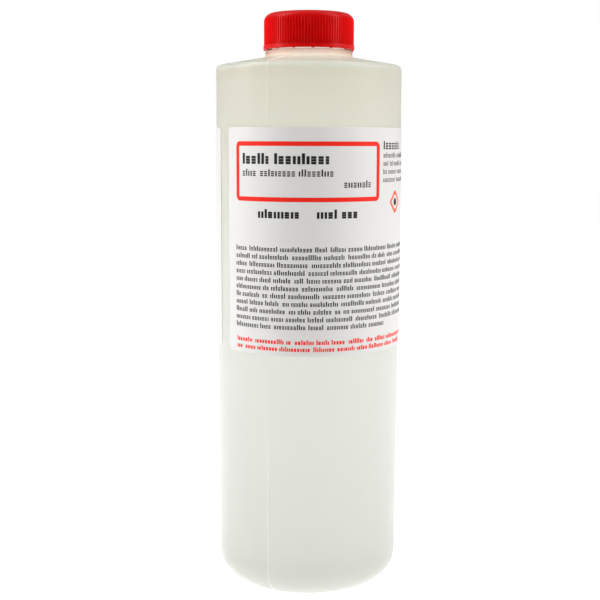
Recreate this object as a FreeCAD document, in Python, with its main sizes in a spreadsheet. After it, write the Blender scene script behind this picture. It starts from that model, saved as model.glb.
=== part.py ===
import FreeCAD, Part
import math
import os

import Sketcher

# A 500 mL cylindrical reagent bottle: a blow-moulded bottle with a 28-400 screw neck, a ribbed screw
# cap, the foam liner inside the cap and one wrap label. Millimetres, +Z up, origin at the middle of
# the standing ring. The middle of the label's front faces -Y.

SHEET = "Sizes"

CELLS = (
    # Bottle, outside
    ("panel_radius", 31.5, "wall at the label and above it"),
    ("heel_radius", 30.95, "wall carried down to the standing plane"),
    ("panel_bottom", 83.0, "where the wall starts to taper towards the heel"),
    ("heel_arc", 9.0, "rounding between the wall and the standing ring"),
    ("ring_radius", 20.5, "inner edge of the standing ring"),
    ("pushup_radius", 17.0, "flat under the base"),
    ("pushup_height", 2.0, "height of that flat above the standing plane"),
    ("shoulder_top", 180.76, "shoulder cone where it meets the collar"),
    ("shoulder_slope", 10.0, "degrees"),
    ("shoulder_arc", 1.7, "rounding between the wall and the shoulder"),
    ("collar_radius", 14.8, "plain collar below the screw finish"),
    ("collar_foot_arc", 1.0, "fillet between the shoulder and the collar"),
    ("collar_top", 182.95, "top of the collar"),
    # Bottle, inside
    ("wall", 0.9, "side wall"),
    ("floor_wall", 1.3, "base and shoulder wall"),
    ("throat_radius", 13.0, "inside radius under the collar"),
    # Screw finish, 28-400
    ("neck_radius", 12.55, "E, thread root"),
    ("thread_radius", 13.75, "T, thread crest"),
    ("bore_radius", 10.9, "I, clear bore"),
    ("lip_height", 193.3, "top of the lip"),
    ("lip_edge", 0.4, "rounding of the lip"),
    ("thread_pitch", 4.233, "six threads per inch"),
    ("thread_turns", 1.1, "length of each thread in turns"),
    ("thread_drop", 6.8, "lip down to the middle of the thread's lower end"),
    ("thread_root", 2.4, "width at the root"),
    ("thread_crest", 1.0, "width at the crest"),
    # Mould parting line
    ("flash", 0.12, "how far the parting line stands proud"),
    ("flash_width", 0.35, "width of the parting line"),
    ("flash_turn", 65.0, "degrees from +X towards +Y"),
    # Cap
    ("cap_radius", 15.24, "over the ribs"),
    ("band_radius", 15.45, "plain band at the rim"),
    ("band_height", 1.3, "plain band at the rim"),
    ("cap_rim", 183.35, "lower edge of the skirt"),
    ("cap_top", 195.4, "top of the cap"),
    ("crown_arc", 2.8, "rounding of the crown"),
    ("skirt_bore", 14.05, "inside radius of the skirt"),
    ("rib_count", 96, "grooves around the skirt"),
    ("rib_depth", 0.4, "depth of a groove"),
    ("rib_mouth", 0.88, "width of a groove at the ribs' crests"),
    ("rib_floor", 0.28, "width of a groove at its floor"),
    ("cap_thread_crest", 12.9, "inside radius of the cap's thread"),
    ("cap_thread_gap", 1.75, "middle of the bottle's thread down to the middle of the cap's"),
    ("lug_count", 15, "little lugs under the rim"),
    ("lug_width", 0.9, "along the rim"),
    ("lug_drop", 0.28, "below the rim"),
    ("lug_thick", 0.5, "across the rim"),
    ("lug_turn", -85.0, "first lug, degrees from +X towards +Y"),
    # Liner
    ("liner_radius", 13.8, "foam disc in the cap"),
    ("liner_thick", 1.0, "foam disc in the cap"),
    # Label
    ("label_thick", 0.2, "film and glue"),
    ("label_bottom", 83.5, "lower edge"),
    ("label_top", 157.2, "upper edge"),
    ("label_corner", 1.6, "corner rounding"),
    ("label_first", -145.7, "its left end, degrees from +X towards +Y"),
    ("label_last", 202.2, "its other end, degrees from +X towards +Y"),
)

NODES = ("bottle", "cap", "cap_liner", "label")

ORIGIN = -1
FLAT_AXIS = -1
UPRIGHT_AXIS = -2


def cell(expression):
    """Put the sheet's name before every alias in an expression."""
    words = []
    for word in expression.split(" "):
        plain = word.strip("()")
        is_alias = plain.replace("_", "").isalpha() and plain not in ("tan", "cos", "sin", "deg")
        words.append(word.replace(plain, SHEET + "." + plain) if is_alias else word)
    return " ".join(words)


def make_sheet(doc):
    sheet = doc.addObject("Spreadsheet::Sheet", SHEET)
    for row, (alias, value, note) in enumerate(CELLS, start=1):
        sheet.set("A%d" % row, alias)
        sheet.set("B%d" % row, str(value))
        sheet.setAlias("B%d" % row, alias)
        sheet.set("C%d" % row, note)
    doc.recompute()
    return sheet


def new_body(doc, name):
    body = doc.addObject("PartDesign::Body", name)
    body.Label = name
    body.Placement = FreeCAD.Placement()
    return body


def new_sketch(body, name, role="XZ_Plane"):
    sketch = body.newObject("Sketcher::SketchObject", name)
    plane = next(item for item in body.Origin.OriginFeatures if item.Role == role)
    sketch.AttachmentSupport = [(plane, "")]
    sketch.MapMode = "FlatFace"
    return sketch


def measure(sketch, expression):
    """Value that an expression of cells has now."""
    return float(sketch.evalExpression(cell(expression)))


def place_point(sketch, geometry, end, across, up):
    """Hold a point of the sketch at two expressions of cells."""
    spots = (("DistanceX", across, UPRIGHT_AXIS), ("DistanceY", up, FLAT_AXIS))
    for kind, expression, axis in spots:
        value = measure(sketch, expression)
        if abs(value) < 1e-9:
            sketch.addConstraint(Sketcher.Constraint("PointOnObject", geometry, end, axis))
            continue
        index = sketch.addConstraint(Sketcher.Constraint(kind, ORIGIN, 1, geometry, end, value))
        sketch.setExpression("Constraints[%d]" % index, cell(expression))


def corner_points(before, here, after, radius):
    """Tangent points and centre of a rounded corner."""
    back = (before - here).normalize()
    onward = (after - here).normalize()
    half = back.getAngle(onward) / 2
    reach = radius / math.tan(half)
    middle = (back + onward).normalize() * (radius / math.sin(half))
    return here + back * reach, here + onward * reach, here + middle


def round_corner(sketch, spots, index, lines, radius):
    """Add the arc of one rounded corner and tie it to its two lines."""
    before, here, after = (spots[(index + step) % len(spots)] for step in (-1, 0, 1))
    arrive, leave, centre = corner_points(before, here, after, measure(sketch, radius))
    left_turn = (here - before).cross(after - here).z > 0
    start, stop = (arrive, leave) if left_turn else (leave, arrive)
    angles = [math.atan2(spot.y - centre.y, spot.x - centre.x) for spot in (start, stop)]
    circle = Part.Circle(centre, FreeCAD.Vector(0, 0, 1), (start - centre).Length)
    arc = sketch.addGeometry(Part.ArcOfCircle(circle, *angles), False)
    first, second = (1, 2) if left_turn else (2, 1)
    line_in, line_out = lines[index - 1], lines[index]
    sketch.addConstraint(Sketcher.Constraint("Tangent", line_in, 2, arc, first))
    sketch.addConstraint(Sketcher.Constraint("Tangent", arc, second, line_out, 1))
    size = sketch.addConstraint(Sketcher.Constraint("Radius", arc, (start - centre).Length))
    sketch.setExpression("Constraints[%d]" % size, cell(radius))
    corner = sketch.addGeometry(Part.Point(here), True)
    sketch.addConstraint(Sketcher.Constraint("PointOnObject", corner, 1, line_in))
    sketch.addConstraint(Sketcher.Constraint("PointOnObject", corner, 1, line_out))
    return corner


def draw_outline(sketch, corners):
    """Closed outline, counter-clockwise. A corner is (across, up) or (across, up, rounding)."""
    sketch.Document.recompute()
    spots = [FreeCAD.Vector(measure(sketch, c[0]), measure(sketch, c[1]), 0) for c in corners]
    ends = []
    for index, corner in enumerate(corners):
        before, here, after = (spots[(index + step) % len(spots)] for step in (-1, 0, 1))
        if len(corner) == 3:
            ends.append(corner_points(before, here, after, measure(sketch, corner[2]))[:2])
        else:
            ends.append((here, here))
    lines = []
    for index in range(len(corners)):
        leave, arrive = ends[index][1], ends[(index + 1) % len(ends)][0]
        lines.append(sketch.addGeometry(Part.LineSegment(leave, arrive), False))
    for index, corner in enumerate(corners):
        if len(corner) == 3:
            point = round_corner(sketch, spots, index, lines, corner[2])
            place_point(sketch, point, 1, corner[0], corner[1])
        else:
            joint = Sketcher.Constraint("Coincident", lines[index - 1], 2, lines[index], 1)
            sketch.addConstraint(joint)
            place_point(sketch, lines[index], 1, corner[0], corner[1])
    sketch.Document.recompute()
    if sketch.solve() != 0 or not sketch.FullyConstrained:
        raise RuntimeError(sketch.Label + ": the sketch isn't fully constrained")


def revolve(body, kind, name, sketch):
    """Turn a sketch once round the upright axis, as a Revolution or a Groove."""
    turn = body.newObject("PartDesign::" + kind, name)
    turn.Profile = sketch
    turn.ReferenceAxis = (sketch, ["V_Axis"])
    turn.Angle = 360
    body.Tip = turn
    body.Document.recompute()
    return turn


def pattern(body, name, feature, count):
    """Repeat a feature evenly round the body's upright axis."""
    ring = body.newObject("PartDesign::PolarPattern", name)
    ring.Originals = [feature]
    upright = next(item for item in body.Origin.OriginFeatures if item.Role == "Z_Axis")
    ring.Axis = (upright, [""])
    ring.Angle = 360
    ring.setExpression("Occurrences", cell(count))
    body.Tip = ring
    body.Document.recompute()
    return ring


def extrude(body, kind, name, sketch, length, midplane=False, flipped=False):
    """Pad or Pocket whose length is an expression of cells."""
    block = body.newObject("PartDesign::" + kind, name)
    block.Profile = sketch
    block.Midplane = midplane
    block.Reversed = flipped
    block.setExpression("Length", cell(length))
    body.Tip = block
    body.Document.recompute()
    return block


def screw_ridge(body, name, root, crest, middle):
    """Right-hand thread that climbs from the XZ plane's +X side."""
    sketch = new_sketch(body, name + "_section")
    corners = [
        (root, middle + " - thread_root / 2"),
        (crest, middle + " - thread_crest / 2"),
        (crest, middle + " + thread_crest / 2"),
        (root, middle + " + thread_root / 2"),
    ]
    draw_outline(sketch, corners)
    ridge = body.newObject("PartDesign::AdditiveHelix", name)
    ridge.Profile = sketch
    ridge.ReferenceAxis = (sketch, ["V_Axis"])
    ridge.Mode = "pitch-turns-angle"
    ridge.setExpression("Pitch", cell("thread_pitch"))
    ridge.setExpression("Turns", cell("thread_turns"))
    ridge.Angle = 0
    ridge.LeftHanded = False
    ridge.Reversed = False
    body.Tip = ridge
    body.Document.recompute()
    return ridge


def outer_skin(proud, rise):
    """Corners from the heel up to the collar, with the skin moved out by two expressions."""
    corner_height = "shoulder_top - ( panel_radius - collar_radius ) * tan( shoulder_slope * 1deg )"
    return {
        "heel": "heel_radius" + proud,
        "panel": "panel_radius" + proud,
        "shoulder": corner_height + rise,
        "collar": "collar_radius" + proud,
        "collar_foot": "shoulder_top" + rise,
    }


def bottle_outside(body):
    """Solid of the bottle's outer skin, without the thread."""
    skin = outer_skin("", "")
    sketch = new_sketch(body, "bottle_outline")
    corners = [
        ("0", "pushup_height"),
        ("pushup_radius", "pushup_height"),
        ("ring_radius", "0"),
        (skin["heel"], "0", "heel_arc"),
        (skin["panel"], "panel_bottom"),
        (skin["panel"], skin["shoulder"], "shoulder_arc"),
        (skin["collar"], skin["collar_foot"], "collar_foot_arc"),
        (skin["collar"], "collar_top"),
        ("neck_radius", "collar_top"),
        ("neck_radius", "lip_height", "lip_edge"),
        ("0", "lip_height"),
    ]
    draw_outline(sketch, corners)
    revolve(body, "Revolution", "bottle_solid", sketch)


def parting_line(body):
    """Thin upright plate whose edge stands proud of the skin where the two mould halves met.

    It stays below the skin under the label, and its lower edge is the pinch-off under the base.
    """
    skin = outer_skin(" + flash", " + flash")
    sketch = new_sketch(body, "parting_outline")
    sketch.AttachmentOffset = FreeCAD.Placement(
        FreeCAD.Vector(), FreeCAD.Rotation(FreeCAD.Vector(0, 1, 0), 0)
    )
    sketch.setExpression("AttachmentOffset.Rotation.Angle", cell("flash_turn"))
    corners = [
        ("0", "pushup_height - 2 * flash"),
        ("pushup_radius - floor_wall", "pushup_height - 2 * flash"),
        ("pushup_radius - floor_wall", "pushup_height + floor_wall / 2"),
        ("ring_radius", "flash / 2"),
        (skin["heel"], "flash / 2", "heel_arc - 2 * flash"),
        (skin["panel"], "label_bottom - wall / 2"),
        ("panel_radius - wall / 2", "label_bottom - wall / 2"),
        ("panel_radius - wall / 2", "label_top + wall / 2"),
        (skin["panel"], "label_top + wall / 2"),
        (skin["panel"], skin["shoulder"], "shoulder_arc"),
        (skin["collar"], skin["collar_foot"], "collar_foot_arc"),
        (skin["collar"], "collar_top"),
        ("0", "collar_top"),
    ]
    draw_outline(sketch, corners)
    plate = extrude(body, "Pad", "parting_plate", sketch, "flash_width", midplane=True)
    pattern(body, "parting_pair", plate, "2")


def bottle_inside(body):
    """Hollow of the bottle, from the floor out through the bore."""
    corner_height = (
        "shoulder_top - floor_wall"
        " - ( panel_radius - wall - collar_radius ) * tan( shoulder_slope * 1deg )"
    )
    throat_height = (
        "shoulder_top - floor_wall"
        " + ( collar_radius - throat_radius ) * tan( shoulder_slope * 1deg )"
    )
    sketch = new_sketch(body, "cavity_outline")
    corners = [
        ("0", "pushup_height + floor_wall"),
        ("pushup_radius", "pushup_height + floor_wall"),
        ("ring_radius", "floor_wall"),
        ("heel_radius - wall", "floor_wall", "heel_arc - wall"),
        ("panel_radius - wall", "panel_bottom"),
        ("panel_radius - wall", corner_height, "shoulder_arc - wall"),
        ("throat_radius", throat_height),
        ("bore_radius", "collar_top - wall"),
        ("bore_radius", "lip_height + wall"),
        ("0", "lip_height + wall"),
    ]
    draw_outline(sketch, corners)
    before = body.Shape.Volume
    revolve(body, "Groove", "cavity", sketch)
    print("hollow, with the bore: %.1f mL" % ((before - body.Shape.Volume) / 1000))


def make_bottle(doc):
    body = new_body(doc, "bottle")
    bottle_outside(body)
    parting_line(body)
    screw_ridge(
        body, "neck_thread", "neck_radius - flash", "thread_radius", "lip_height - thread_drop"
    )
    bottle_inside(body)
    return body


def cap_shell(body):
    """Crown, skirt and the plain band at the rim, hollow inside."""
    sketch = new_sketch(body, "cap_outline")
    roof = "lip_height + liner_thick"
    corners = [
        ("0", roof),
        ("skirt_bore", roof),
        ("skirt_bore", "cap_rim"),
        ("band_radius", "cap_rim", "rib_floor"),
        ("band_radius", "cap_rim + band_height"),
        ("cap_radius", "cap_rim + band_height"),
        ("cap_radius", "cap_top", "crown_arc"),
        ("0", "cap_top"),
    ]
    draw_outline(sketch, corners)
    revolve(body, "Revolution", "cap_shell", sketch)


def cap_ribs(body):
    """Straight grooves from the band up into the crown's rounding, where they run out."""
    sketch = new_sketch(body, "groove_section", "XY_Plane")
    sketch.setExpression("AttachmentOffset.Base.z", cell("cap_rim + band_height"))
    beyond = "band_radius + rib_depth"
    shoulder = "cap_radius - rib_depth / 6"
    floor = "cap_radius - rib_depth"
    corners = [
        (floor, "0 - rib_floor / 2"),
        (shoulder, "0 - rib_mouth / 2"),
        (beyond, "0 - rib_mouth / 2"),
        (beyond, "rib_mouth / 2"),
        (shoulder, "rib_mouth / 2"),
        (floor, "rib_floor / 2"),
    ]
    draw_outline(sketch, corners)
    before = body.Shape.Volume
    groove = extrude(body, "Pocket", "groove", sketch, "cap_top - cap_rim", flipped=True)
    if body.Shape.Volume >= before:
        raise RuntimeError("the groove cuts nothing")
    pattern(body, "grooves", groove, "rib_count")


def cap_lugs(body):
    """Small lugs that hang from the rim's outer edge."""
    sketch = new_sketch(body, "lug_section", "XY_Plane")
    sketch.AttachmentOffset = FreeCAD.Placement(
        FreeCAD.Vector(), FreeCAD.Rotation(FreeCAD.Vector(0, 0, 1), 0)
    )
    sketch.setExpression("AttachmentOffset.Base.z", cell("cap_rim - lug_drop"))
    sketch.setExpression("AttachmentOffset.Rotation.Angle", cell("lug_turn"))
    inner = "band_radius - lug_thick"
    outer = "band_radius - flash / 2"
    corners = [
        (inner, "0 - lug_width / 2"),
        (outer, "0 - lug_width / 2"),
        (outer, "lug_width / 2"),
        (inner, "lug_width / 2"),
    ]
    draw_outline(sketch, corners)
    lug = extrude(body, "Pad", "lug", sketch, "lug_drop + band_height / 2")
    pattern(body, "lugs", lug, "lug_count")


def make_cap(doc):
    body = new_body(doc, "cap")
    cap_shell(body)
    cap_ribs(body)
    cap_lugs(body)
    screw_ridge(
        body,
        "cap_thread",
        "skirt_bore + flash",
        "cap_thread_crest",
        "lip_height - thread_drop - cap_thread_gap",
    )
    return body


def make_liner(doc):
    """Foam disc between the cap's roof and the bottle's lip."""
    body = new_body(doc, "cap_liner")
    sketch = new_sketch(body, "liner_outline")
    corners = [
        ("0", "lip_height"),
        ("liner_radius", "lip_height"),
        ("liner_radius", "lip_height + liner_thick"),
        ("0", "lip_height + liner_thick"),
    ]
    draw_outline(sketch, corners)
    revolve(body, "Revolution", "liner_disc", sketch)
    return body


def make_label(doc):
    """One wrap label on the wall. Its ends stop short of each other."""
    body = new_body(doc, "label")
    sketch = new_sketch(body, "label_outline")
    sketch.AttachmentOffset = FreeCAD.Placement(
        FreeCAD.Vector(), FreeCAD.Rotation(FreeCAD.Vector(0, 1, 0), 0)
    )
    sketch.setExpression("AttachmentOffset.Rotation.Angle", cell("label_first"))
    corners = [
        ("panel_radius", "label_bottom"),
        ("panel_radius + label_thick", "label_bottom"),
        ("panel_radius + label_thick", "label_top"),
        ("panel_radius", "label_top"),
    ]
    draw_outline(sketch, corners)
    wrap = revolve(body, "Revolution", "label_wrap", sketch)
    wrap.setExpression("Angle", cell("label_last - label_first"))
    wrap.Reversed = False
    doc.recompute()
    rounded = body.newObject("PartDesign::Fillet", "label_corners")
    rounded.Base = (wrap, radial_edges(wrap.Shape))
    rounded.setExpression("Radius", cell("label_corner"))
    body.Tip = rounded
    doc.recompute()
    return body


def radial_edges(shape):
    """Names of the short level edges across the label's thickness at its four corners."""
    names = []
    for number, edge in enumerate(shape.Edges, start=1):
        ends = [vertex.Point for vertex in edge.Vertexes]
        if len(ends) == 2 and edge.Length < 1 and abs(ends[0].z - ends[1].z) < 1e-6:
            names.append("Edge%d" % number)
    return names


def check_objects(doc):
    """Stop if any object failed or any sub-part isn't one valid solid."""
    for item in doc.Objects:
        faults = {"Invalid", "Error"} & set(item.State)
        if faults:
            raise RuntimeError("%s: %s" % (item.Label, faults))
    for name in NODES:
        shape = doc.getObject(name).Shape
        if shape.isNull() or not shape.isValid() or len(shape.Solids) != 1:
            raise RuntimeError(name + ": the shape isn't one valid solid")


def main():
    doc = FreeCAD.newDocument("reagent_bottle")
    make_sheet(doc)
    make_bottle(doc)
    make_cap(doc)
    make_liner(doc)
    make_label(doc)
    doc.recompute()
    check_objects(doc)
    os.makedirs("parts", exist_ok=True)
    for name in NODES:
        shape = doc.getObject(name).Shape
        box = shape.BoundBox
        print(
            "%s: %.0f mm3, X %.2f..%.2f, Y %.2f..%.2f, Z %.2f..%.2f"
            % (name, shape.Volume, box.XMin, box.XMax, box.YMin, box.YMax, box.ZMin, box.ZMax)
        )
        shape.exportStep("parts/%s.step" % name)


main()
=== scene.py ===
import logging
import math
import random
from dataclasses import dataclass, field
from enum import Enum
from typing import Callable, Iterable, Iterator, Sequence, Union

import bpy
from mathutils import Euler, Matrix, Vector


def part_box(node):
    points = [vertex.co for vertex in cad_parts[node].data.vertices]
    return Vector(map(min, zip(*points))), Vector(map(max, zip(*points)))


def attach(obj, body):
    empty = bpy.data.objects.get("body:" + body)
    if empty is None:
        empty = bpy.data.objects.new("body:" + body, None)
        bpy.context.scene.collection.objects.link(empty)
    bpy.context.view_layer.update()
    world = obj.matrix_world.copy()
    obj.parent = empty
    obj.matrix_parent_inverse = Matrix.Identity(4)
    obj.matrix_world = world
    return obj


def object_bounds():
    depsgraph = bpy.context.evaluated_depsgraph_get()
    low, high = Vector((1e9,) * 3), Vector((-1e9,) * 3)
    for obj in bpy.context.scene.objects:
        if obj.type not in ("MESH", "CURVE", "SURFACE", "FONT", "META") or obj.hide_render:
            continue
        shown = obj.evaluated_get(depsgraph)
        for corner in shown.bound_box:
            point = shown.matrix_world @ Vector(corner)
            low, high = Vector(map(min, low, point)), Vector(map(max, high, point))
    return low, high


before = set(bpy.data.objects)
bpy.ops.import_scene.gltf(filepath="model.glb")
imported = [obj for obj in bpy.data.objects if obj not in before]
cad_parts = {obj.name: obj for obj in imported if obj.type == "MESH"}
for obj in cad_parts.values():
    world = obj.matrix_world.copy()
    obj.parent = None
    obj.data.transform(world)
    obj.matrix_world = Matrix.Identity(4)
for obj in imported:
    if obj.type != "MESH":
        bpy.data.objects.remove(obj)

CAD_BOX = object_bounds()
MM = 0.001
LOG = logging.getLogger("reagent_bottle")

Colour = tuple[float, float, float]
Triple = tuple[float, float, float]
Number = Union[int, float]
WHITE = (1.0, 1.0, 1.0)


# ---------------------------------------------------------------- shader maths


class Value:
    """A shader socket that Python's arithmetic works on, by adding Math nodes."""

    def __init__(self, shader: "Nodes", socket: bpy.types.NodeSocket) -> None:
        """Keep the node tree and the output socket that this value comes from."""
        self.shader = shader
        self.socket = socket

    def _maths(self, operation: str, *inputs: Union["Value", Number]) -> "Value":
        """Add one Math node with these inputs, in order, and return its result."""
        return self.shader.add("ShaderNodeMath", {"operation": operation}, dict(enumerate(inputs)))

    def __add__(self, other: Union["Value", Number]) -> "Value":
        """Sum of two values."""
        return self._maths("ADD", self, other)

    def __radd__(self, other: Number) -> "Value":
        """Sum with a number on the left."""
        return self._maths("ADD", other, self)

    def __sub__(self, other: Union["Value", Number]) -> "Value":
        """Difference of two values."""
        return self._maths("SUBTRACT", self, other)

    def __rsub__(self, other: Number) -> "Value":
        """A number less this value."""
        return self._maths("SUBTRACT", other, self)

    def __mul__(self, other: Union["Value", Number]) -> "Value":
        """Product of two values."""
        return self._maths("MULTIPLY", self, other)

    def __rmul__(self, other: Number) -> "Value":
        """Product with a number on the left."""
        return self._maths("MULTIPLY", other, self)

    def __truediv__(self, other: Union["Value", Number]) -> "Value":
        """Quotient of two values."""
        return self._maths("DIVIDE", self, other)

    def __rtruediv__(self, other: Number) -> "Value":
        """A number divided by this value."""
        return self._maths("DIVIDE", other, self)


Feed = Union[Value, Number, Sequence[float]]

# Places of the colour sockets on a Mix node, which has sockets of the same names for other types.
MIX_SHARE = 0
MIX_FIRST = 6
MIX_SECOND = 7
MIX_RESULT = 2


class Nodes:
    """An emptied node tree that nodes are added to."""

    def __init__(self, owner: Union[bpy.types.Material, bpy.types.World]) -> None:
        """Empty a node tree.

        Args:
            owner: The material or world that the tree belongs to.
        """
        owner.use_nodes = True
        self.tree = owner.node_tree
        self.tree.nodes.clear()

    def _feed(self, socket: bpy.types.NodeSocket, feed: Feed) -> None:
        """Link a value to a socket, or set the socket's own value.

        Args:
            socket: The input socket.
            feed: A value to link, or a number, vector or colour to set.
        """
        if isinstance(feed, Value):
            self.tree.links.new(feed.socket, socket)
        elif isinstance(feed, (int, float)):
            socket.default_value = feed
        else:
            wanted = len(socket.default_value)
            socket.default_value = tuple(feed) + (1.0,) * (wanted - len(feed))

    def add(
        self,
        kind: str,
        settings: dict[str, object],
        inputs: dict[Union[str, int], Feed],
        output: Union[str, int, None] = 0,
    ) -> Value:
        """Add any node.

        Args:
            kind: Blender's name for the node's type.
            settings: The node's own properties, which are set first. "stops" fills a colour ramp.
            inputs: Numbers, vectors, colours or values for its sockets, by name or place.
            output: Name or place of the socket that is wanted, or None for a node that has none.

        Returns:
            The wanted output, or the node's first input where it has no output.
        """
        node = self.tree.nodes.new(kind)
        for name, setting in settings.items():
            if name == "stops":
                self._fill_ramp(node, setting)
            else:
                setattr(node, name, setting)
        for name, feed in inputs.items():
            self._feed(node.inputs[name], feed)
        return Value(self, node.inputs[0] if output is None else node.outputs[output])

    @staticmethod
    def _fill_ramp(node: bpy.types.Node, stops: Iterable[tuple[float, Colour]]) -> None:
        """Give a colour ramp its stops.

        Args:
            node: The ramp.
            stops: Place and colour of each stop, from low to high.
        """
        elements = node.color_ramp.elements
        for index, (place, colour) in enumerate(stops):
            element = elements[index] if index < 2 else elements.new(place)
            element.position = place
            element.color = (*colour, 1.0)

    def split(self, vector: Value) -> tuple[Value, Value, Value]:
        """X, Y and Z of a vector."""
        parts = self.add("ShaderNodeSeparateXYZ", {}, {"Vector": vector})
        return tuple(Value(self, socket) for socket in parts.socket.node.outputs)

    def stretched(self, vector: Value, scale: Sequence[float]) -> Value:
        """A vector scaled along each axis."""
        return self.add("ShaderNodeVectorMath", {"operation": "MULTIPLY"}, {0: vector, 1: scale})

    def noise(self, vector: Value, per_metre: float, detail: float = 2.0) -> Value:
        """Soft noise from 0 to 1, with this many lumps in a metre."""
        return self.add(
            "ShaderNodeTexNoise", {}, {"Vector": vector, "Scale": per_metre, "Detail": detail}, "Fac"
        )

    def ramp(self, value: Value, low: float, high: float) -> Value:
        """0 below low, 1 above high and smooth in between."""
        settings = {"interpolation_type": "SMOOTHSTEP"}
        return self.add("ShaderNodeMapRange", settings, {"Value": value, "From Min": low, "From Max": high})

    def mixed(self, share: Feed, first: Feed, second: Feed) -> Value:
        """Colour between two others: the first where share is 0, the second where it is 1."""
        inputs = {MIX_SHARE: share, MIX_FIRST: first, MIX_SECOND: second}
        return self.add("ShaderNodeMix", {"data_type": "RGBA"}, inputs, MIX_RESULT)

    def bump(self, height: Value, metres: float, under: Union[Value, None] = None) -> Value:
        """Normal that a height from 0 to 1 gives.

        Args:
            height: The height over the surface.
            metres: How deep the full height is.
            under: A normal that this one is laid over.

        Returns:
            The new normal.
        """
        inputs: dict[Union[str, int], Feed] = {"Height": height, "Strength": 1.0, "Distance": metres}
        if under is not None:
            inputs["Normal"] = under
        return self.add("ShaderNodeBump", {}, inputs, "Normal")


class Shader(Nodes):
    """The node tree of one material, with its Principled shader ready to be fed."""

    def __init__(self, name: str) -> None:
        """Make a material that holds only a Principled shader and its output.

        Args:
            name: The material's name.
        """
        self.material = bpy.data.materials.new(name)
        super().__init__(self.material)
        surface = self.add("ShaderNodeBsdfPrincipled", {}, {}, "BSDF")
        self.add("ShaderNodeOutputMaterial", {}, {"Surface": surface}, None)
        self.principled = surface.socket.node

    def place(self) -> Value:
        """Position on the piece, in metres."""
        return self.add("ShaderNodeTexCoord", {}, {}, "Object")

    def finish(self, **sockets: Feed) -> bpy.types.Material:
        """Feed the Principled shader.

        Args:
            sockets: What goes to each socket, by its name with _ for a space.

        Returns:
            The finished material.
        """
        for name, feed in sockets.items():
            self._feed(self.principled.inputs[name.replace("_", " ")], feed)
        return self.material


# ---------------------------------------------------------------- finishes


@dataclass(frozen=True)
class Band:
    """A height above the bottle's base, in millimetres, and the colour there: tint or painted cap glow."""

    height: float
    tint: Colour


@dataclass(frozen=True)
class NaturalPolyethylene:
    """Milky natural polyethylene, blown in a mould: translucent, satin and faintly uneven.

    Its tint is coolest at the heel and warmer above the label. From the shoulder's rim to the
    collar it carries painted light: a warm, then red painted glow that stands for the red cap's
    light through the wall. The screw finish, which the cap covers, has the wall's plain tint.
    """

    heel_tint: Colour = (0.94, 0.945, 0.88)
    wall_tint: Colour = (0.94, 0.945, 0.91)
    upper_tint: Colour = (0.875, 0.99, 0.875)
    # Painted light: these three colours paint the red cap's glow into the wall at the shoulder and collar.
    rim_painted_glow: Colour = (0.92, 0.90, 0.70)
    shoulder_painted_glow: Colour = (0.98, 0.40, 0.26)
    collar_painted_glow: Colour = (1.0, 0.18, 0.10)
    cloud: float = 0.02
    cloud_stretch: Triple = (1.0, 1.0, 0.25)
    clouds_per_metre: float = 45.0
    skin_per_metre: float = 1400.0
    skin_height: float = 0.012 * MM
    depth: float = 70.0 * MM
    depth_tint: Colour = WHITE
    roughness: float = 0.33
    roughness_range: float = 0.06
    sheen: float = 0.22
    refraction: float = 1.53

    def bands(self) -> tuple[Band, ...]:
        """The tints from the base up, with the cap's painted glow from the shoulder's rim to the collar."""
        return (
            Band(0.0, self.heel_tint),
            Band(40.0, self.wall_tint),
            Band(120.0, self.wall_tint),
            Band(160.0, self.upper_tint),
            Band(172.0, self.upper_tint),
            # Painted light from here up to the collar: the cap's warm, then red glow painted into the
            # colour.
            Band(176.5, self.rim_painted_glow),
            Band(180.5, self.shoulder_painted_glow),
            Band(182.4, self.collar_painted_glow),
            Band(183.2, self.collar_painted_glow),
            Band(185.0, self.wall_tint),
        )

    def material(self, low: Vector, high: Vector) -> bpy.types.Material:
        """Make the material.

        Args:
            low: Lowest corner of the bottle.
            high: Highest corner of the bottle.

        Returns:
            The material.
        """
        shader = Shader("natural_polyethylene")
        place = shader.place()
        tall = high.z - low.z
        stops = tuple((band.height * MM / tall, band.tint) for band in self.bands())
        height = (shader.split(place)[2] - low.z) / tall
        # The ramp holds the plastic's tint and, from the shoulder's rim to the collar, the cap's painted
        # red glow.
        tint = shader.add("ShaderNodeValToRGB", {"stops": stops}, {"Fac": height})
        drawn = shader.stretched(place, self.cloud_stretch)
        clouds = shader.noise(drawn, self.clouds_per_metre, detail=3.0)
        skin = shader.noise(place, self.skin_per_metre)
        return shader.finish(
            Base_Color=shader.mixed(self.cloud * clouds, tint, WHITE),
            Roughness=self.roughness + self.roughness_range * (clouds - 0.5),
            Normal=shader.bump(skin, self.skin_height),
            Subsurface_Weight=1.0,
            Subsurface_Radius=self.depth_tint,
            Subsurface_Scale=self.depth,
            Specular_IOR_Level=self.sheen,
            IOR=self.refraction,
        )


@dataclass(frozen=True)
class RedPolypropylene:
    """Moulded red polypropylene with a satin gloss."""

    face: Colour = (0.77, 0.001, 0.001)
    deep: Colour = (0.72, 0.0, 0.0)
    flow_per_metre: float = 160.0
    grain_per_metre: float = 3200.0
    grain_height: float = 0.01 * MM
    roughness: float = 0.34
    roughness_range: float = 0.08
    glow: float = 0.5
    glow_depth: float = 6.0 * MM
    glow_tint: Colour = (1.0, 0.1, 0.08)
    sheen: float = 0.2
    refraction: float = 1.49

    def material(self) -> bpy.types.Material:
        """Make the material.

        Returns:
            The material.
        """
        shader = Shader("red_polypropylene")
        place = shader.place()
        flow = shader.noise(place, self.flow_per_metre, detail=3.0)
        grain = shader.noise(place, self.grain_per_metre)
        return shader.finish(
            Base_Color=shader.mixed(flow, self.deep, self.face),
            Roughness=self.roughness + self.roughness_range * (flow - 0.5),
            Normal=shader.bump(grain, self.grain_height),
            Subsurface_Weight=self.glow,
            Subsurface_Radius=self.glow_tint,
            Subsurface_Scale=self.glow_depth,
            Specular_IOR_Level=self.sheen,
            IOR=self.refraction,
        )


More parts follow.
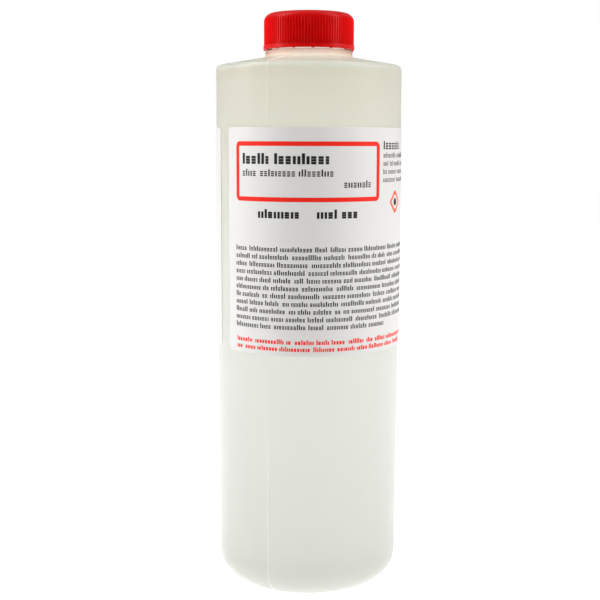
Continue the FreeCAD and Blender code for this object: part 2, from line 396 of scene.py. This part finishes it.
@dataclass(frozen=True)
class FoamLiner:
    """White closed-cell foam, with painted shade in the pit of each cell."""

    tint: Colour = (0.82, 0.82, 0.80)
    painted_pit_shade: Colour = (0.70, 0.70, 0.68)
    cells_per_metre: float = 2600.0
    cell_height: float = 0.05 * MM
    roughness: float = 0.8

    def material(self) -> bpy.types.Material:
        """Make the material.

        Returns:
            The material.
        """
        shader = Shader("foam_liner")
        inputs = {"Vector": shader.place(), "Scale": self.cells_per_metre}
        cells = shader.add("ShaderNodeTexVoronoi", {}, inputs, "Distance")
        return shader.finish(
            # Painted shade: the colour darkens towards each cell's middle, where the bump makes a pit.
            Base_Color=shader.mixed(cells, self.painted_pit_shade, self.tint),
            Roughness=self.roughness,
            Normal=shader.bump(cells, self.cell_height),
        )


@dataclass(frozen=True)
class CoatedLabel:
    """White coated label stock, a little glossy, with a faint fibre under the coating."""

    tint: Colour = (0.705, 0.692, 0.676)
    fibre: Colour = (0.685, 0.672, 0.656)
    fibre_stretch: Triple = (1.0, 1.0, 2.2)
    fibres_per_metre: float = 900.0
    fibre_height: float = 0.006 * MM
    fibre_share: float = 0.5
    waves_per_metre: float = 35.0
    wave_height: float = 0.06 * MM
    wave_share: float = 0.3
    roughness: float = 0.42
    roughness_range: float = 0.08
    refraction: float = 1.5

    def material(self) -> bpy.types.Material:
        """Make the material.

        Returns:
            The material.
        """
        shader = Shader("label_film")
        place = shader.place()
        threads = shader.stretched(place, self.fibre_stretch)
        fibres = shader.noise(threads, self.fibres_per_metre, detail=4.0)
        waves = shader.noise(place, self.waves_per_metre)
        share = self.fibre_share * fibres + self.wave_share * waves
        return shader.finish(
            Base_Color=shader.mixed(share, self.tint, self.fibre),
            Roughness=self.roughness + self.roughness_range * (fibres - 0.5),
            Normal=shader.bump(fibres, self.fibre_height, shader.bump(waves, self.wave_height)),
            IOR=self.refraction,
        )


@dataclass(frozen=True)
class PrintInk:
    """Flat printing ink that lets a little of the stock's fibre show."""

    name: str
    full: Colour
    worn: Colour
    speckles_per_metre: float = 2400.0
    wear_start: float = 0.55
    wear_end: float = 0.9
    roughness: float = 0.4
    roughness_range: float = 0.1
    sheen: float = 0.25
    refraction: float = 1.5

    def material(self) -> bpy.types.Material:
        """Make the material.

        Returns:
            The material.
        """
        shader = Shader(self.name)
        speckle = shader.noise(shader.place(), self.speckles_per_metre, detail=3.0)
        wear = shader.ramp(speckle, self.wear_start, self.wear_end)
        return shader.finish(
            Base_Color=shader.mixed(wear, self.full, self.worn),
            Roughness=self.roughness + self.roughness_range * speckle,
            Specular_IOR_Level=self.sheen,
            IOR=self.refraction,
        )


BLACK_INK = PrintInk("black_ink", (0.008, 0.008, 0.009), (0.05, 0.05, 0.05))
RED_INK = PrintInk("red_ink", (0.84, 0.012, 0.002), (0.84, 0.06, 0.03))
ORANGE_INK = PrintInk("orange_ink", (0.80, 0.11, 0.03), (0.85, 0.2, 0.1))


# ---------------------------------------------------------------- printing on the label


@dataclass(frozen=True)
class LabelFace:
    """The label's outer face, with places on it given as along and up, in metres.

    along is measured round the face from the line that faces the reader, to the right.
    """

    radius: float
    top: float

    def point(self, along: float, up: float, lift: float) -> Vector:
        """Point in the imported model's frame.

        Args:
            along: Place round the face.
            up: Height above the base.
            lift: How far off the face.

        Returns:
            The point.
        """
        angle = along / self.radius
        reach = self.radius + lift
        return Vector((reach * math.sin(angle), -reach * math.cos(angle), up))


@dataclass(frozen=True)
class Column:
    """One upright slice of a printed shape: where it is and the span of ink there."""

    along: float
    low: float
    high: float


class InkFilm:
    """A thin closed film of ink laid on the label, made of shapes that are spans over columns.

    The film reaches from UNDER to OVER the label's face, and its columns are at most STEP apart.
    """

    UNDER = -0.01 * MM
    OVER = 0.02 * MM
    STEP = 0.8 * MM
    LEAST_STEPS = 8

    def __init__(self, face: LabelFace) -> None:
        """Start with no ink.

        Args:
            face: The face that the ink lies on.
        """
        self.face = face
        self.points: list[Vector] = []
        self.quads: list[tuple[int, int, int, int]] = []

    def lay(self, columns: Sequence[Column]) -> None:
        """Add one closed shape.

        Args:
            columns: Its columns, left to right.
        """
        start = len(self.points)
        for column in columns:
            for up in (column.low, column.high):
                for lift in (self.UNDER, self.OVER):
                    self.points.append(self.face.point(column.along, up, lift))
        for index in range(len(columns) - 1):
            here = start + 4 * index
            beyond = here + 4
            self.quads.append((here + 1, beyond + 1, beyond + 3, here + 3))
            self.quads.append((here, here + 2, beyond + 2, beyond))
            self.quads.append((here, beyond, beyond + 1, here + 1))
            self.quads.append((here + 2, here + 3, beyond + 3, beyond + 2))
        last = start + 4 * (len(columns) - 1)
        self.quads.append((start, start + 1, start + 3, start + 2))
        self.quads.append((last, last + 2, last + 3, last + 1))

    def bar(self, left: float, right: float, low: float, high: float) -> None:
        """Add a plain bar.

        Args:
            left: Where it starts along the face.
            right: Where it ends.
            low: Height of its lower edge.
            high: Height of its upper edge.
        """
        steps = max(1, math.ceil((right - left) / self.STEP))
        places = [left + (right - left) * index / steps for index in range(steps + 1)]
        self.lay([Column(place, low, high) for place in places])

    def spans(self, left: float, right: float, edge: Callable[[float], tuple[float, float]]) -> None:
        """Add a shape whose low and high edges are given by a function.

        Args:
            left: Where the shape starts.
            right: Where it ends.
            edge: Low and high edge at a place along the face.
        """
        steps = max(self.LEAST_STEPS, math.ceil((right - left) / self.STEP))
        turn = [0.5 - 0.5 * math.cos(math.pi * index / steps) for index in range(steps + 1)]
        places = [left + (right - left) * share for share in turn]
        self.lay([Column(place, *edge(place)) for place in places])

    def build(self, name: str, ink: PrintInk) -> None:
        """Make the piece and let it ride with the bottle.

        Args:
            name: The piece's name.
            ink: Its finish.
        """
        mesh = bpy.data.meshes.new(name)
        mesh.from_pydata([tuple(point) for point in self.points], [], self.quads)
        mesh.validate()
        mesh.materials.append(ink.material())
        piece = bpy.data.objects.new(name, mesh)
        bpy.context.scene.collection.objects.link(piece)
        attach(piece, "bottle")
        LOG.info("%s: %d faces", name, len(self.quads))


class Mark(Enum):
    """What stands for one character: plain strokes that spell nothing."""

    STEM = "one upright stroke"
    TALL = "one tall upright stroke"
    RUNGS = "three short level strokes"


@dataclass(frozen=True)
class Typeface:
    """Size and weight of the strokes that stand for a line of print.

    A word is as many characters long as one of LENGTHS, and GAP of a character comes after it.
    WEIGHTS says how often each mark comes. STEM_PITCH and RUNG_LENGTH are shares of the pitch, and
    RUNG_WEIGHT is a share of the stroke.
    """

    LENGTHS = range(2, 11)
    GAP = 0.75
    WEIGHTS = (3, 2, 4)
    STEM_PITCH = 0.62
    RUNG_LENGTH = 0.72
    RUNG_WEIGHT = 0.8

    pitch: float
    middle: float
    tall: float
    stroke: float

    def words(self, length: float, seed: int) -> Iterator[tuple[float, float]]:
        """Divide a line into words.

        Args:
            length: The line's length.
            seed: Fixes the lengths of its words.

        Yields:
            Left and right end of each word.
        """
        chance = random.Random(seed)
        left = 0.0
        while left < length - 2 * self.pitch:
            right = min(length, left + self.pitch * chance.choice(self.LENGTHS))
            yield left, right
            left = right + self.GAP * self.pitch

    def marks(self, left: float, right: float, chance: random.Random) -> Iterator[tuple[Mark, float]]:
        """Fill a word with marks.

        Args:
            left: The word's left end.
            right: Its right end.
            chance: Draws the marks.

        Yields:
            Each mark with its left edge.
        """
        place = left
        while place <= right - self.stroke:
            mark = chance.choices(list(Mark), weights=self.WEIGHTS)[0]
            yield mark, place
            place += self.pitch * (self.STEM_PITCH if mark is not Mark.RUNGS else 1.0)


@dataclass(frozen=True)
class Word:
    """A larger printed word: its typeface, its ends and its drop in millimetres, and its seed."""

    face: Typeface
    left: float
    right: float
    drop: float
    seed: int


class Printing:
    """Lays lines of greeked print: strokes in place of letters, so that nothing can be read."""

    def __init__(self, film: InkFilm) -> None:
        """Print with this film of ink."""
        self.film = film

    def word(self, face: Typeface, left: float, right: float, base: float, seed: int) -> None:
        """Print one word.

        Args:
            face: Size and weight of its strokes.
            left: Its left end.
            right: Its right end.
            base: Height of the line that it stands on.
            seed: Fixes the order of its marks.
        """
        for mark, place in face.marks(left, right, random.Random(seed)):
            if mark is Mark.RUNGS:
                end = min(place + face.RUNG_LENGTH * face.pitch, right)
                thick = face.RUNG_WEIGHT * face.stroke
                for step in range(3):
                    low = base + step * (face.middle - thick) / 2
                    self.film.bar(place, end, low, low + thick)
            else:
                top = face.tall if mark is Mark.TALL else face.middle
                self.film.bar(place, place + face.stroke, base, base + top)

    def line(self, face: Typeface, left: float, right: float, base: float, seed: int) -> None:
        """Print one line of words.

        Args:
            face: Size and weight of its strokes.
            left: Its left end.
            right: Its right end.
            base: Height of the line that it stands on.
            seed: Fixes its words and their marks.
        """
        for number, (start, end) in enumerate(face.words(right - left, seed)):
            self.word(face, left + start, left + end, base, 100 * seed + number)


# ---------------------------------------------------------------- the label


@dataclass
class WrapLabel:
    """The wrap label with its printed frame, lines, symbol and paragraph.

    Heights are taken down from the label's upper edge, and places along it from the front line.
    """

    frame_left: float = -26.5 * MM
    frame_right: float = 25.9 * MM
    frame_drop: float = 4.5 * MM
    frame_height: float = 19.2 * MM
    frame_line: float = 1.45 * MM
    frame_corner: float = 1.7 * MM
    subtitle_left: float = -23.4 * MM
    subtitle_right: float = 11.6 * MM
    subtitle_drop: float = 15.6 * MM
    subtitle_seed: int = 21
    column_left: float = 28.0 * MM
    column_drop: float = 9.7 * MM
    column_step: float = 2.66 * MM
    column_taper: float = 4.0 * MM
    column_lines: int = 4
    column_seed: int = 41
    text_right: float = 86.0 * MM
    text_left: float = -26.7 * MM
    paragraph_drop: float = 39.75 * MM
    paragraph_step: float = 2.525 * MM
    paragraph_lines: int = 11
    paragraph_end: float = 30.0 * MM
    paragraph_rag: float = 1.9 * MM
    paragraph_seed: int = 51
    notice_left: float = -26.4 * MM
    notice_rights: tuple[float, float] = (60.0 * MM, 42.0 * MM)
    notice_drop: float = 69.9 * MM
    notice_step: float = 2.3 * MM
    notice_seed: int = 71
    symbol_middle: float = 36.4 * MM
    symbol_drop: float = 24.4 * MM
    symbol_reach: float = 4.3 * MM
    symbol_line: float = 0.95 * MM
    dot_radius: float = 1.25 * MM
    least_height: float = 0.02 * MM
    title: Typeface = Typeface(2.35 * MM, 2.55 * MM, 3.45 * MM, 1.0 * MM)
    subtitle: Typeface = Typeface(1.5 * MM, 1.65 * MM, 2.25 * MM, 0.5 * MM)
    heading: Typeface = Typeface(2.0 * MM, 2.1 * MM, 2.9 * MM, 0.84 * MM)
    column_heading: Typeface = Typeface(2.0 * MM, 2.1 * MM, 2.7 * MM, 0.66 * MM)
    body: Typeface = Typeface(1.06 * MM, 1.15 * MM, 1.65 * MM, 0.38 * MM)
    column_body: Typeface = Typeface(1.06 * MM, 1.15 * MM, 1.65 * MM, 0.32 * MM)
    notice: Typeface = Typeface(1.04 * MM, 1.1 * MM, 1.6 * MM, 0.44 * MM)
    face: LabelFace = field(init=False)

    def __post_init__(self) -> None:
        """Take the label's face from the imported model."""
        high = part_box("label")[1]
        self.face = LabelFace(high.x, high.z)

    def dress(self) -> None:
        """Give the label its stock and print everything on it."""
        dress_node("label", CoatedLabel().material())
        self.print_frame()
        self.print_headings()
        self.print_text()
        self.print_notice()
        self.print_symbol()

    def drop(self, metres: float) -> float:
        """Height this far below the label's upper edge."""
        return self.face.top - metres

    def print_frame(self) -> None:
        """Print the red frame with rounded corners."""
        film = InkFilm(self.face)
        top = self.drop(self.frame_drop)
        bottom = top - self.frame_height
        left, right, line, corner = self.frame_left, self.frame_right, self.frame_line, self.frame_corner

        def outer(place: float) -> tuple[float, float]:
            """Low and high edge of the rounded outside.

            Args:
                place: Place along the face.

            Returns:
                Both heights.
            """
            inset = max(left + corner - place, place - right + corner, 0.0)
            cut = corner - math.sqrt(max(corner**2 - inset**2, 0.0))
            return bottom + cut, top - cut

        film.spans(left, left + line, outer)
        film.spans(right - line, right, outer)
        film.spans(left + line, right - line, lambda place: (outer(place)[0], bottom + line))
        film.spans(left + line, right - line, lambda place: (top - line, outer(place)[1]))
        film.build("label_frame", RED_INK)

    def titles(self) -> tuple[Word, ...]:
        """The title's two words."""
        return (
            Word(self.title, -23.4, -13.2, 11.7, 11),
            Word(self.title, -11.2, 6.6, 11.7, 12),
        )

    def headings(self) -> tuple[Word, ...]:
        """The word at the frame's lower right, the bold words under it and the column's heading."""
        return (
            Word(self.subtitle, 11.7, 21.8, 19.2, 22),
            Word(self.heading, -17.1, -3.1, 29.0, 31),
            Word(self.heading, 2.7, 9.7, 29.0, 32),
            Word(self.heading, 11.0, 16.8, 29.0, 33),
            Word(self.column_heading, 28.0, 41.0, 7.0, 34),
        )

    def print_words(self, printing: Printing, words: Iterable[Word]) -> None:
        """Print larger words.

        Args:
            printing: Lays their strokes.
            words: The words.
        """
        for word in words:
            base = self.drop(word.drop * MM)
            printing.word(word.face, word.left * MM, word.right * MM, base, word.seed)

    def print_headings(self) -> None:
        """Print the title, the subtitle and the other larger words."""
        film = InkFilm(self.face)
        printing = Printing(film)
        self.print_words(printing, self.titles())
        base = self.drop(self.subtitle_drop)
        left, right = self.subtitle_left, self.subtitle_right
        printing.line(self.subtitle, left, right, base, self.subtitle_seed)
        self.print_words(printing, self.headings())
        film.build("label_headings", BLACK_INK)

    def print_text(self) -> None:
        """Print the small lines beside the frame and the long paragraph."""
        film = InkFilm(self.face)
        printing = Printing(film)
        for number in range(self.column_lines):
            base = self.drop(self.column_drop + self.column_step * number)
            right = self.text_right - self.column_taper * number
            seed = self.column_seed + number
            printing.line(self.column_body, self.column_left, right, base, seed)
        for number in range(self.paragraph_lines):
            base = self.drop(self.paragraph_drop + self.paragraph_step * number)
            right = self.paragraph_right(number)
            printing.line(self.body, self.text_left, right, base, self.paragraph_seed + number)
        film.build("label_text", BLACK_INK)

    def paragraph_right(self, number: int) -> float:
        """Right end of one of the paragraph's lines, which are ragged in a fixed order.

        Args:
            number: The line's number from the top.

        Returns:
            Place of its end along the face.
        """
        if number == self.paragraph_lines - 1:
            return self.paragraph_end
        return self.text_right - (number * 7 % 5) * self.paragraph_rag

    def print_notice(self) -> None:
        """Print the bold red lines at the foot of the label."""
        film = InkFilm(self.face)
        printing = Printing(film)
        for number, right in enumerate(self.notice_rights):
            base = self.drop(self.notice_drop + self.notice_step * number)
            printing.line(self.notice, self.notice_left, right, base, self.notice_seed + number)
        film.build("label_notice", RED_INK)

    def print_symbol(self) -> None:
        """Print a plain diamond outline with a dot in it."""
        middle, height = self.symbol_middle, self.drop(self.symbol_drop)
        half_width = self.symbol_reach - self.least_height
        outline = InkFilm(self.face)
        for side in (1, -1):
            outline.spans(middle - half_width, middle + half_width, self.diamond_half(side))
        outline.build("label_symbol", ORANGE_INK)

        def disc(place: float) -> tuple[float, float]:
            """Low and high edge of the dot.

            Args:
                place: Place along the face.

            Returns:
                Both heights.
            """
            half = math.sqrt(max(self.dot_radius**2 - (place - middle) ** 2, self.least_height**2))
            return height - half, height + half

        dot = InkFilm(self.face)
        dot.spans(middle - self.dot_radius, middle + self.dot_radius, disc)
        dot.build("label_symbol_dot", BLACK_INK)

    def diamond_half(self, side: int) -> Callable[[float], tuple[float, float]]:
        """Edges of half of the diamond's outline.

        Args:
            side: 1 for the upper half, -1 for the lower.

        Returns:
            A function that gives the low and high edge at a place along the face.
        """
        height = self.drop(self.symbol_drop)
        slant = self.symbol_line * math.sqrt(2)

        def edge(place: float) -> tuple[float, float]:
            """Low and high edge of that half.

            Args:
                place: Place along the face.

            Returns:
                Both heights.
            """
            outer = self.symbol_reach - abs(place - self.symbol_middle)
            inner = max(outer - slant, 0.0)
            return (height + inner, height + outer) if side > 0 else (height - outer, height - inner)

        return edge


# ---------------------------------------------------------------- the bottle and its cap


def dress_node(node: str, material: bpy.types.Material) -> None:
    """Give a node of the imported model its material.

    Args:
        node: The node's name.
        material: Its finish.
    """
    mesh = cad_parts[node].data
    mesh.materials.clear()
    mesh.materials.append(material)
    LOG.info("%s: %s", node, material.name)


@dataclass
class Bottle:
    """The blown bottle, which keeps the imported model's shape."""

    finish: NaturalPolyethylene = NaturalPolyethylene()

    def dress(self) -> None:
        """Give the bottle its plastic."""
        dress_node("bottle", self.finish.material(*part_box("bottle")))


@dataclass
class Closure:
    """The ribbed cap and the liner in it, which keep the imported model's shapes."""

    cap: RedPolypropylene = RedPolypropylene()
    liner: FoamLiner = FoamLiner()

    def dress(self) -> None:
        """Give the cap and the liner their materials."""
        dress_node("cap", self.cap.material())
        dress_node("cap_liner", self.liner.material())


# ---------------------------------------------------------------- studio


@dataclass
class Panel:
    """One soft light panel, aimed at the middle of the bottle."""

    name: str
    place: tuple[float, float, float]
    size: tuple[float, float]
    power: float

    def build(self, target: Vector) -> None:
        """Hang the panel.

        Args:
            target: The point that it faces.
        """
        light = bpy.data.lights.new(self.name, "AREA")
        light.shape = "RECTANGLE"
        light.size, light.size_y = self.size
        light.energy = self.power
        lamp = bpy.data.objects.new(self.name, light)
        lamp.location = self.place
        lamp.rotation_euler = (target - lamp.location).to_track_quat("-Z", "Y").to_euler()
        bpy.context.scene.collection.objects.link(lamp)


@dataclass
class InnerGlow:
    """Soft lamps in the hollow, for the light that a full milky bottle passes round inside itself."""

    count: int = 6
    power: float = 0.0037
    neck_power: float = 0.0007
    radius: float = 9.0 * MM
    lowest: float = 20.0 * MM
    highest: float = 172.0 * MM
    neck_height: float = 184.0 * MM
    tint: Colour = (0.99, 1.0, 0.995)

    def build(self) -> None:
        """Set the lamps one above the other on the bottle's axis, with a weak one in the neck."""
        for index in range(self.count):
            share = index / (self.count - 1)
            self.hang(f"inner_lamp_{index}", self.lowest + share * (self.highest - self.lowest), self.power)
        self.hang("neck_lamp", self.neck_height, self.neck_power)

    def hang(self, name: str, height: float, power: float) -> None:
        """Hang one lamp.

        Args:
            name: The lamp's name.
            height: Its height above the floor.
            power: Its power in watts.
        """
        light = bpy.data.lights.new(name, "POINT")
        light.shadow_soft_size = self.radius
        light.color = self.tint
        light.energy = power
        lamp = bpy.data.objects.new(name, light)
        lamp.location = (0.0, 0.0, height)
        lamp.visible_camera = False
        bpy.context.scene.collection.objects.link(lamp)


@dataclass
class Studio:
    """Plain white floor and surroundings, soft panels, lamps in the hollow and the camera.

    front_to_side, side_to_back and side_to_top say where the surroundings' light changes over, as
    parts of the direction's length along Y or Z.
    """

    camera_distance: float = 402.5 * MM
    camera_height: float = 153.1 * MM
    camera_pitch: float = math.radians(7.836)
    camera_roll: float = math.radians(0.166)
    camera_lens: float = 69.7
    camera_shift: float = -0.01365
    front_light: float = 0.02
    side_light: float = 0.45
    back_light: float = 0.3
    overhead_light: float = 0.2
    front_to_side: tuple[float, float] = (-0.75, 0.0)
    side_to_back: tuple[float, float] = (0.2, 0.8)
    side_to_top: tuple[float, float] = (0.7, 0.9)
    floor_half: float = 3.0
    floor_tint: Colour = (0.80, 0.80, 0.80)
    floor_roughness: float = 0.9
    floor_glow: float = 0.69

    def build(self) -> None:
        """Set up the camera, the floor and the lights."""
        self.build_camera()
        self.build_floor()
        self.build_surroundings()
        middle = (CAD_BOX[0] + CAD_BOX[1]) / 2
        for panel in self.panels():
            panel.build(middle)
        InnerGlow().build()
        settings = bpy.context.scene.view_settings
        settings.view_transform = "Standard"

    def panels(self) -> tuple[Panel, ...]:
        """The soft light panels."""
        return (
            Panel("left_panel", place=(-0.70, -0.08, 0.60), size=(0.10, 0.80), power=5.6),
            Panel("right_panel", place=(0.70, -0.18, 0.60), size=(0.10, 0.80), power=4.5),
        )

    def build_camera(self) -> None:
        """Make the camera, which looks along +Y and a little down."""
        data = bpy.data.cameras.new("camera")
        data.lens = self.camera_lens
        data.shift_x = self.camera_shift
        camera = bpy.data.objects.new("camera", data)
        camera.location = (0.0, -self.camera_distance, self.camera_height)
        level = Euler((math.pi / 2 - self.camera_pitch, 0.0, 0.0)).to_matrix()
        camera.rotation_euler = (level @ Euler((0.0, 0.0, self.camera_roll)).to_matrix()).to_euler()
        bpy.context.scene.collection.objects.link(camera)
        bpy.context.scene.camera = camera

    def build_floor(self) -> None:
        """Make the floor that the bottle stands on."""
        half = self.floor_half
        mesh = bpy.data.meshes.new("floor")
        corners = [(-half, -half, 0.0), (half, -half, 0.0), (half, half, 0.0), (-half, half, 0.0)]
        mesh.from_pydata(corners, [], [(0, 1, 2, 3)])
        shader = Shader("floor_paint")
        paint = shader.finish(
            Base_Color=self.floor_tint,
            Roughness=self.floor_roughness,
            Emission_Color=WHITE,
            Emission_Strength=self.floor_glow,
        )
        mesh.materials.append(paint)
        floor = bpy.data.objects.new("floor", mesh)
        bpy.context.scene.collection.objects.link(floor)

    def build_surroundings(self) -> None:
        """Make the surroundings: dim in front, brighter at the sides, and plain white to the camera."""
        world = bpy.data.worlds.new("surroundings")
        nodes = Nodes(world)
        direction = nodes.add("ShaderNodeTexCoord", {}, {}, "Generated")
        _, depth, rise = nodes.split(direction)
        to_side = nodes.ramp(depth, *self.front_to_side)
        to_back = nodes.ramp(depth, *self.side_to_back)
        to_top = nodes.ramp(rise, *self.side_to_top)
        sides = self.front_light + (self.side_light - self.front_light) * to_side
        around = sides + (self.back_light - self.side_light) * to_back
        light = around + self.overhead_light * to_top
        lamp = nodes.add("ShaderNodeBackground", {}, {"Color": WHITE, "Strength": light})
        white = nodes.add("ShaderNodeBackground", {}, {"Color": WHITE, "Strength": 1.0})
        seen = nodes.add("ShaderNodeLightPath", {}, {}, "Is Camera Ray")
        both = nodes.add("ShaderNodeMixShader", {}, {0: seen, 1: lamp, 2: white})
        nodes.add("ShaderNodeOutputWorld", {}, {"Surface": both}, None)
        bpy.context.scene.world = world


def main() -> None:
    """Build the studio, then dress the bottle, its closure and its label."""
    logging.basicConfig(level=logging.INFO, format="%(message)s")
    Studio().build()
    Bottle().dress()
    Closure().dress()
    WrapLabel().dress()


if __name__ == "__main__":
    main()
